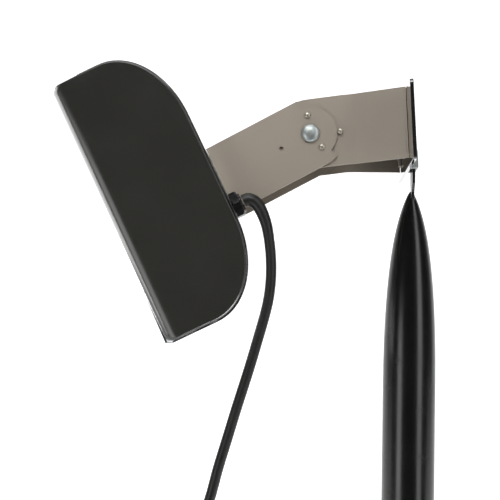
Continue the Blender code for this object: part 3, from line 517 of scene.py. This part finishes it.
def rolled(point, normal, edge, front, turn):
    """A point of a cover's rim carried over its rounded edge, as (x, z, fall from the flat side).

    The front edge is rolled over much more than the rest; turn runs from 0 on the rim to 90 degrees.
    """
    share = max(0.0, 1.0 - point[0] / FRONT_ROLL_REACH) ** 2
    inward = 1 - math.cos(turn)
    x = point[0] - normal[0] * edge * inward + share * front[0] * inward
    fall = (edge + share * front[1]) * (1 - math.sin(turn))
    return x, point[1] - normal[1] * edge * inward, fall


def make_cover(name, node, side, rim, edge, front):
    """A side cover: a shallow tray with its edge rounded over, and rounded most at the front."""
    points = head_outline(rim)
    normals = edge_normals(points)
    outer = side * HEAD_HALF_WIDTH
    rim_depth = HEAD_HALF_WIDTH - COVER_DEPTH
    lip = []
    for point, normal in zip(points, normals):
        fall = rolled(point, normal, edge, front, 0.0)[2]
        lip.append((point[0], side * min(rim_depth, HEAD_HALF_WIDTH - fall - GAP), point[1]))
    rings = [lip]
    for step in range(13):
        ring = []
        for point, normal in zip(points, normals):
            x, z, fall = rolled(point, normal, edge, front, math.radians(step * 7.5))
            ring.append((x, outer - side * fall, z))
        rings.append(ring)
    # One more ring, just inside the edge, keeps the large flat face from shading with the rounding
    flat = [(x + 0.0008 * (1 if x < FACE_DEPTH / 2 else -1), y, z * 0.992) for x, y, z in rings[-1]]
    mesh = loft(name, [*rings, flat], (False, True), HEAD_FRAME)
    made = add_piece(name, mesh, HEAD, "black_cover", (node,), 40)
    wall = made.modifiers.new("wall", "SOLIDIFY")
    wall.thickness = COVER_WALL
    wall.offset = -1.0
    even = made.modifiers.new("shading", "WEIGHTED_NORMAL")
    even.keep_sharp = True
    return made


def make_housing():
    """The bent bright sheet between the covers, with rows of vents in its back."""
    back, top = FACE_DEPTH + HOUSING_RIM, FACE_HALF_HEIGHT + HOUSING_RIM
    wide, tall = CORNER_DEPTH + HOUSING_RIM, CORNER_HEIGHT + HOUSING_RIM
    path = [(HOUSING_LOWER_FRONT, -top)]
    for cz, start in ((tall - top, -90), (top - tall, 0)):
        for i in range(33):
            a = math.radians(start + 90 * i / 32)
            path.append((back - wide + wide * math.cos(a), cz + tall * math.sin(a)))
    path.append((HOUSING_FRONT, top))
    half = HEAD_HALF_WIDTH - COVER_DEPTH - GAP
    inside = []
    for i, (x, z) in enumerate(path):
        before, after = path[max(i - 1, 0)], path[min(i + 1, len(path) - 1)]
        along = Vector((after[0] - before[0], after[1] - before[1])).normalized()
        inside.append((x - along.y * HOUSING_WALL, z + along.x * HOUSING_WALL))
    section = [*path, *reversed(inside)]
    rings = [[(x, y, z) for x, z in section] for y in (-half, half)]
    mesh = loft("lamp_housing", rings, (True, True), HEAD_FRAME)
    made = add_piece("lamp_housing", mesh, HEAD, "bright_sheet", ("housing",), 30)
    tools = bmesh.new()
    turn = HEAD_FRAME.to_3x3().to_4x4() @ Matrix.Rotation(math.radians(90), 4, "Y")
    for row in range(VENT_ROWS):
        for place in range(VENTS_IN_ROW):
            y, z = VENT_FIRST_Y + place * VENT_STEP_Y, VENT_FIRST_Z + row * VENT_STEP_Z
            at = Matrix.Translation(HEAD_FRAME @ Vector((back, y, z)))
            bmesh.ops.create_cone(tools, cap_ends=True, segments=14, radius1=VENT_RADIUS,
                                  radius2=VENT_RADIUS, depth=0.012, matrix=at @ turn)
    cutter = bpy.data.meshes.new("vents")
    tools.to_mesh(cutter)
    tools.free()
    carve(made, cutter)


def make_seam_shade():
    """A thin black strip between the near cover and the bright housing, put there as painted shade for the
    shadowed gap between them.
    """
    inset, width = 0.0003, 0.0030
    rear = [(x, z) for x, z in head_outline(HOUSING_RIM - inset) if x > HOUSING_FRONT]
    inner = [(x - 0.0010 * (1 if x > FACE_DEPTH else 0), z * 0.988) for x, z in rear]
    near = -(HEAD_HALF_WIDTH - COVER_DEPTH - 0.0002)
    ring = [*rear, *reversed(inner)]
    rings = [[(x, y, z) for x, z in ring] for y in (near, near + width)]
    # This strip is painted shade: a dark piece where the gap between cover and housing lies in shadow
    add_piece("seam_shade_strip", loft("seam_shade_strip", rings, (True, True), HEAD_FRAME), HEAD, "rubber", (), 40)


def make_gland():
    """The cable gland: a chamfered hexagon, a round compression cap and a plain stub for its thread."""
    start = FACE_DEPTH + HOUSING_RIM + GAP
    place = HEAD_FRAME @ Matrix.Translation((start, CORD_Y, GLAND_HEIGHT)) @ Matrix.Rotation(
        math.radians(90), 4, "Y")
    corner = GLAND_FLATS / math.sqrt(3)
    stations = [(0.0, corner - 0.0012), (0.0006, corner - 0.0002), (0.0011, corner),
                (GLAND_LENGTH - 0.0014, corner), (GLAND_LENGTH - 0.0007, corner - 0.0003),
                (GLAND_LENGTH - 0.0002, corner - 0.0012), (GLAND_LENGTH, corner - 0.0022)]
    rings = hexagon_rings(GLAND_FLATS, stations)
    turns = [math.tau * i / len(rings[0]) for i in range(len(rings[0]))]
    for radius, height in ((0.0071, GLAND_LENGTH + 0.0001), (0.0070, GLAND_LENGTH + 0.0008),
                           (0.0066, GLAND_LENGTH + 0.0014), (0.0056, GLAND_LENGTH + 0.0015)):
        rings.append([(radius * math.cos(a), radius * math.sin(a), height) for a in turns])
    for radius, height in ((0.0054, 0.0), (0.0054, -0.0100)):
        rings.insert(0, [(radius * math.cos(a), radius * math.sin(a), height) for a in turns])
    add_piece("cable_gland", loft("cable_gland", rings, matrix=place), HEAD, "black_plastic",
              ("gland_body",), 40)


def make_lamp_details():
    """The lamp's wire filament and the ceramic caps at its two ends."""
    half_length, coil_radius, wire_radius, steps, steps_in_turn = 0.040, 0.0011, 0.00022, 180, 6
    points = []
    for i in range(steps + 1):
        a = math.tau * i / steps_in_turn
        x, y = LAMP_X + coil_radius * math.cos(a), coil_radius * math.sin(a)
        points.append(HEAD_FRAME @ Vector((x, y, -half_length + 2 * half_length * i / steps)))
    mesh = sweep("lamp_filament", points, [wire_radius] * len(points), 6)
    add_piece("lamp_filament", mesh, HEAD, "steel")
    for side, name in ((1, "upper_lamp_cap"), (-1, "lower_lamp_cap")):
        place = HEAD_FRAME @ Matrix.Translation((LAMP_X, 0.0, side * 0.0510))
        profile = [(0.0030, -0.0070), (0.0042, -0.0066), (0.0045, -0.0050), (0.0045, 0.0040),
                   (0.0042, 0.0060), (0.0030, 0.0066)]
        add_piece(name, lathe(name, profile, 32, place), HEAD, "ceramic")


def make_arm_pips():
    """The bright half-pierced studs by the pivot: two on the front arm, one stop stud on the rear arm."""
    studs = (
        ("upper_arm_stud", FRONT_ARM_ANGLE, (0.0042, 0.0125), HEAD),
        ("lower_arm_stud", FRONT_ARM_ANGLE, (0.0028, -0.0125), HEAD),
        ("stop_stud", REAR_ARM_ANGLE, (0.0213, 0.0), STAND),
    )
    for name, tilt, (x, z), body in studs:
        a = math.radians(tilt)
        offset = Vector((x * math.cos(a) - z * math.sin(a), ARM_FACE, x * math.sin(a) + z * math.cos(a)))
        rise = 0.0003 if body == STAND else 0.0010
        profile = [(0.0023, -0.0002), (0.0023, rise * 0.3), (0.0022, rise * 0.8), (0.0019, rise + 0.00025),
                   (0.0014, rise + 0.00055), (0.0008, rise + 0.00075), (0.0002, rise + 0.0008)]
        if body == STAND:
            profile = [(radius * 0.9, height) for radius, height in profile]
        place = Matrix.Translation(PIVOT + offset) @ Matrix.Rotation(math.radians(90), 4, "X")
        add_piece(name, lathe(name, profile, 28, place), body, "satin_metal", material=STUD)


# Post


def tip_radius(depth):
    """The post's radius at a depth below its point: a half ellipse, drawn in near the point."""
    round_part = math.sqrt(1 - (1 - min(depth, TIP_TAPER) / TIP_TAPER) ** 2)
    return POST_RADIUS * round_part * (1 - 0.42 * math.exp(-depth / 0.016))


def make_post():
    """The pointed tip and the round post in one smooth skin, slotted for the blade."""
    depths = [TIP_TAPER * (i / 56) ** 2 for i in range(3, 57)]
    profile = [(tip_radius(depth), TIP_TOP - depth) for depth in depths]
    profile += [(POST_RADIUS, 0.060), (POST_RADIUS, POST_FOOT)]
    mesh = lathe("post_skin", profile, 88)
    made = add_piece("post_skin", mesh, STAND, "black_paint", ("post_tip", "post_tube"), 30)
    slot = bmesh.new()
    bmesh.ops.create_cube(slot, size=1.0)
    bmesh.ops.scale(slot, vec=SLOT_SIZE, verts=slot.verts)
    bmesh.ops.translate(slot, vec=SLOT_CENTRE, verts=slot.verts)
    tool = bpy.data.meshes.new("slot")
    slot.to_mesh(tool)
    slot.free()
    carve(made, tool)


# CAD nodes that keep their shape


def dress_nodes():
    """Each node that is still shown gets its finish, and sheet parts get a fine edge radius."""
    for row in frame["record"]["subparts"]:
        node = NODES[row["node"]]
        material = FINISHES[row["material_slot"]]
        for holder in node.material_slots:
            holder.material = material
    for name in ("front_arm", "rear_arm"):
        edge = NODES[name].modifiers.new("edges", "BEVEL")
        edge.width = 0.00035
        edge.segments = 2
        edge.limit_method = "ANGLE"
        edge.angle_limit = math.radians(50)
        even = NODES[name].modifiers.new("shading", "WEIGHTED_NORMAL")
        even.keep_sharp = True
    for name, material in (("reflector", hammered("hammered_sheet", (0.88, 0.88, 0.88), 0.18)),
                           ("wall_flange", FINISHES["black_gloss"])):
        for holder in NODES[name].material_slots:
            holder.material = material


# Stage


def make_stage():
    """A pale sweep: floor, curve and wall."""
    floor, near, far, radius, top, half = -0.170, -0.30, 1.2, 1.2, 3.2, 4.0
    path = [(near, floor), (far, floor)]
    for i in range(1, 17):
        a = math.radians(90 * i / 16)
        path.append((far + radius * math.sin(a), floor + radius * (1 - math.cos(a))))
    path.append((far + radius, top))
    bm = bmesh.new()
    rows = [[bm.verts.new((x, y, z)) for y, z in path] for x in (-half, half)]
    for i in range(len(path) - 1):
        bm.faces.new((rows[0][i], rows[1][i], rows[1][i + 1], rows[0][i + 1]))
    mesh = bpy.data.meshes.new("sweep")
    bm.to_mesh(mesh)
    bm.free()
    mesh.shade_smooth()
    material, tree, shader = new_material("pale_floor", 0.0, Roughness=0.9, Emission_Strength=0.80)
    shader.inputs["Emission Color"].default_value = (1.0, 1.0, 1.0, 1.0)
    patches = noise(tree, coordinates(tree, (1.0, 1.0, 1.0)), 2.0)
    tone = two_tones(tree, patches, (0.90, 0.90, 0.90), (0.93, 0.93, 0.93))
    tree.links.new(tone, shader.inputs["Base Color"])
    mesh.materials.append(material)
    made = bpy.data.objects.new("sweep", mesh)
    SCENE.collection.objects.link(made)


def make_light(name, place, target, size, watts):
    data = bpy.data.lights.new(name, "AREA")
    data.shape = "RECTANGLE"
    data.size, data.size_y = size
    data.energy = watts
    light = bpy.data.objects.new(name, data)
    light.location = place
    ahead = Vector(target) - Vector(place)
    light.rotation_euler = ahead.to_track_quat("-Z", "Y").to_euler()
    light.visible_camera = False
    SCENE.collection.objects.link(light)
    return light


def make_world():
    """A studio that is dim behind the camera and bright past the object, and pale where it is seen."""
    world = bpy.data.worlds.new("studio")
    SCENE.world = world
    world.use_nodes = True
    tree = world.node_tree
    place = tree.nodes.new("ShaderNodeTexCoord")
    split = tree.nodes.new("ShaderNodeSeparateXYZ")
    tree.links.new(place.outputs["Generated"], split.inputs["Vector"])
    level = tree.nodes.new("ShaderNodeMapRange")
    level.inputs["From Min"].default_value = -0.2
    level.inputs["From Max"].default_value = 1.0
    tree.links.new(split.outputs["Y"], level.inputs["Value"])
    steep = tree.nodes.new("ShaderNodeMath")
    steep.operation = "POWER"
    steep.inputs[1].default_value = 2.3
    tree.links.new(level.outputs["Result"], steep.inputs[0])
    glow = tree.nodes.new("ShaderNodeMath")
    glow.operation = "MULTIPLY_ADD"
    glow.inputs[1].default_value = 1.5
    glow.inputs[2].default_value = 0.045
    tree.links.new(steep.outputs["Value"], glow.inputs[0])
    seen = tree.nodes.new("ShaderNodeLightPath")
    choice = tree.nodes.new("ShaderNodeMix")
    choice.data_type = "FLOAT"
    tree.links.new(seen.outputs["Is Camera Ray"], choice.inputs["Factor"])
    tree.links.new(glow.outputs["Value"], choice.inputs[2])
    choice.inputs[3].default_value = 1.0
    tree.links.new(choice.outputs[0], tree.nodes["Background"].inputs["Color"])


def only_on(light, pieces):
    """The light falls on these pieces alone, as one behind a flag does."""
    group = bpy.data.collections.new(f"{light.name}_on")
    for piece in pieces:
        group.objects.link(piece)
    light.light_linking.receiver_collection = group


make_camera()
SCENE.view_settings.view_transform = "Standard"
plug = make_plug()
upper_tie = make_coil_tie("upper_strap", "upper_coil_tie", math.radians(50))
lower_tie = make_coil_tie("lower_strap", "lower_coil_tie", math.radians(250))
sleeve = make_sleeve()
make_cord()
covers = [
    make_cover("near_cover", "near_side_cover", -1, NEAR_RIM, 0.0014, (0.0095, 0.0046)),
    make_cover("far_cover", "far_side_cover", 1, FAR_RIM, 0.0018, (0.0095, 0.0040)),
]
make_housing()
make_seam_shade()
make_gland()
make_arm_pips()
make_lamp_details()
make_post()
dress_nodes()
make_stage()
make_world()
make_light("strip_left", (-0.74, -0.70, -0.20), (0.0, 0.0, 0.05), (0.34, 0.95), 3.6)
make_light("strip_right", (0.70, -0.78, 0.50), (0.0, 0.0, 0.20), (0.40, 1.6), 5.6)
front_light = make_light("front_top", (-0.34, -1.05, 1.25), (-0.18, 0.0, 0.22), (1.1, 0.6), 16.0)
all_but_post = [piece for piece in SCENE.objects if piece.type == "MESH" and piece.name != "post_skin"]
only_on(front_light, all_but_post)
make_light("top", (-0.20, 0.05, 1.20), (-0.14, 0.0, 0.2), (0.9, 0.7), 4.0)
edge_light = make_light("edge_left", (-1.25, -0.10, 0.20), (-0.22, 0.0, 0.20), (1.00, 1.0), 34.0)
rim_light = make_light("edge_behind", (-1.05, 0.85, 0.25), (-0.22, 0.0, 0.20), (1.20, 1.2), 60.0)
low_light = make_light("edge_below", (0.75, -0.90, -0.75), (-0.15, 0.0, 0.18), (1.10, 0.8), 90.0)
for light in (edge_light, rim_light, low_light):
    only_on(light, covers)

bpy.context.view_layer.update()
